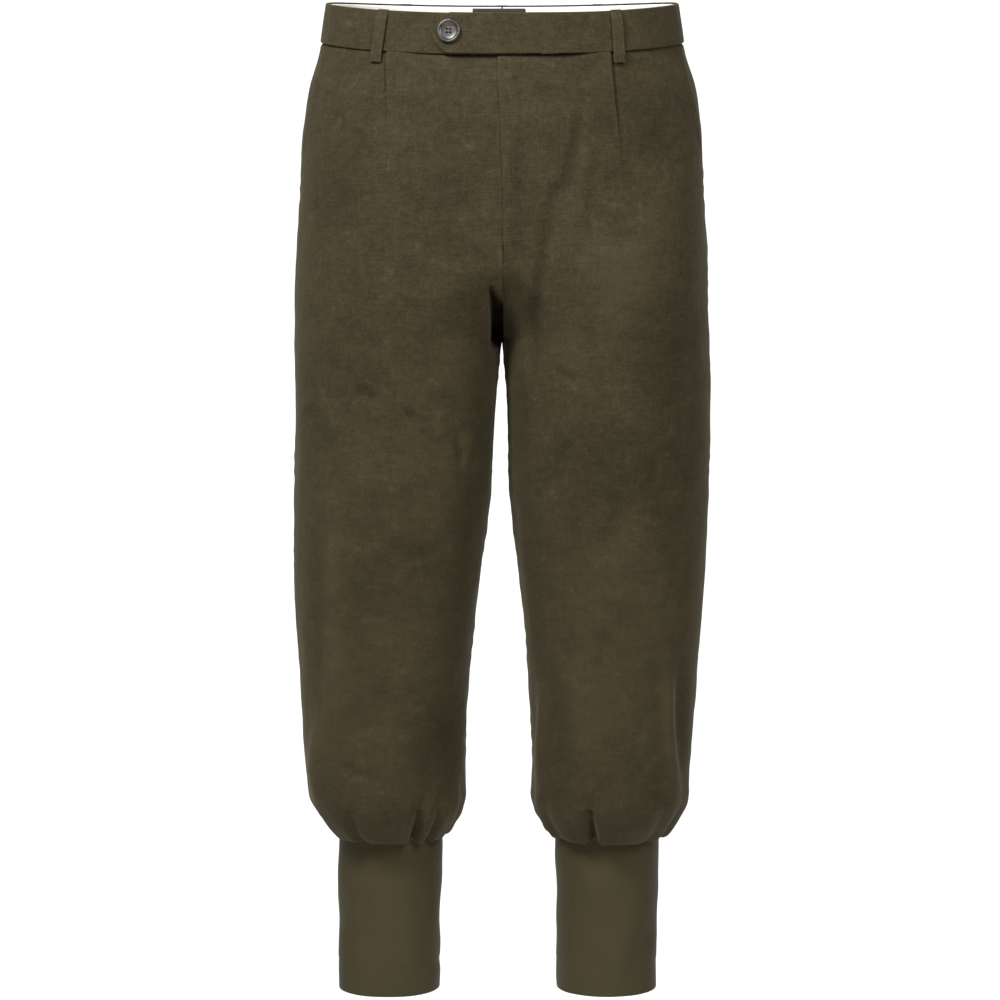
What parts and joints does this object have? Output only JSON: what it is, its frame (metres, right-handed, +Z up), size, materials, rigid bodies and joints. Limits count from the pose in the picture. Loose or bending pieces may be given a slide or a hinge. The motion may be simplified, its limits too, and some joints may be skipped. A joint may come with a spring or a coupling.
{
  "type": "knee breeches",
  "caption": "Historic knee breeches with a pointed waistband tab, belt loops, front pleats, bloused legs and long close stretch cuffs, in the filled-out shape of wear.",
  "frame": {"origin": "middle of the waist opening, level with the top of the waistband at the side seams", "axes": "+Z up, from the cuffs to the waist; the front faces -Y; +X is the wearer's left"},
  "size_m": [0.3723, 0.2614, 0.894],
  "materials": {
    "moleskin": "brushed, with a short soft nap",
    "stretch": "smooth close stretch knit",
    "lining": "plain cotton weave",
    "label": "plain dark woven tape",
    "horn": "polished horn look"
  },
  "bodies": {
    "root": {"front_left": "moleskin", "front_right": "moleskin", "back_left": "moleskin", "back_right": "moleskin", "waistband_left": "moleskin", "waistband_right": "moleskin", "belt_loop_front_left": "moleskin", "belt_loop_front_right": "moleskin", "belt_loop_back_left": "moleskin", "belt_loop_back_right": "moleskin", "belt_loop_back_centre": "moleskin", "waist_lining_left": "lining", "waist_lining_right": "lining", "label": "label", "button": "horn", "cuff_left": "stretch", "cuff_right": "stretch"}
  },
  "joints": []
}
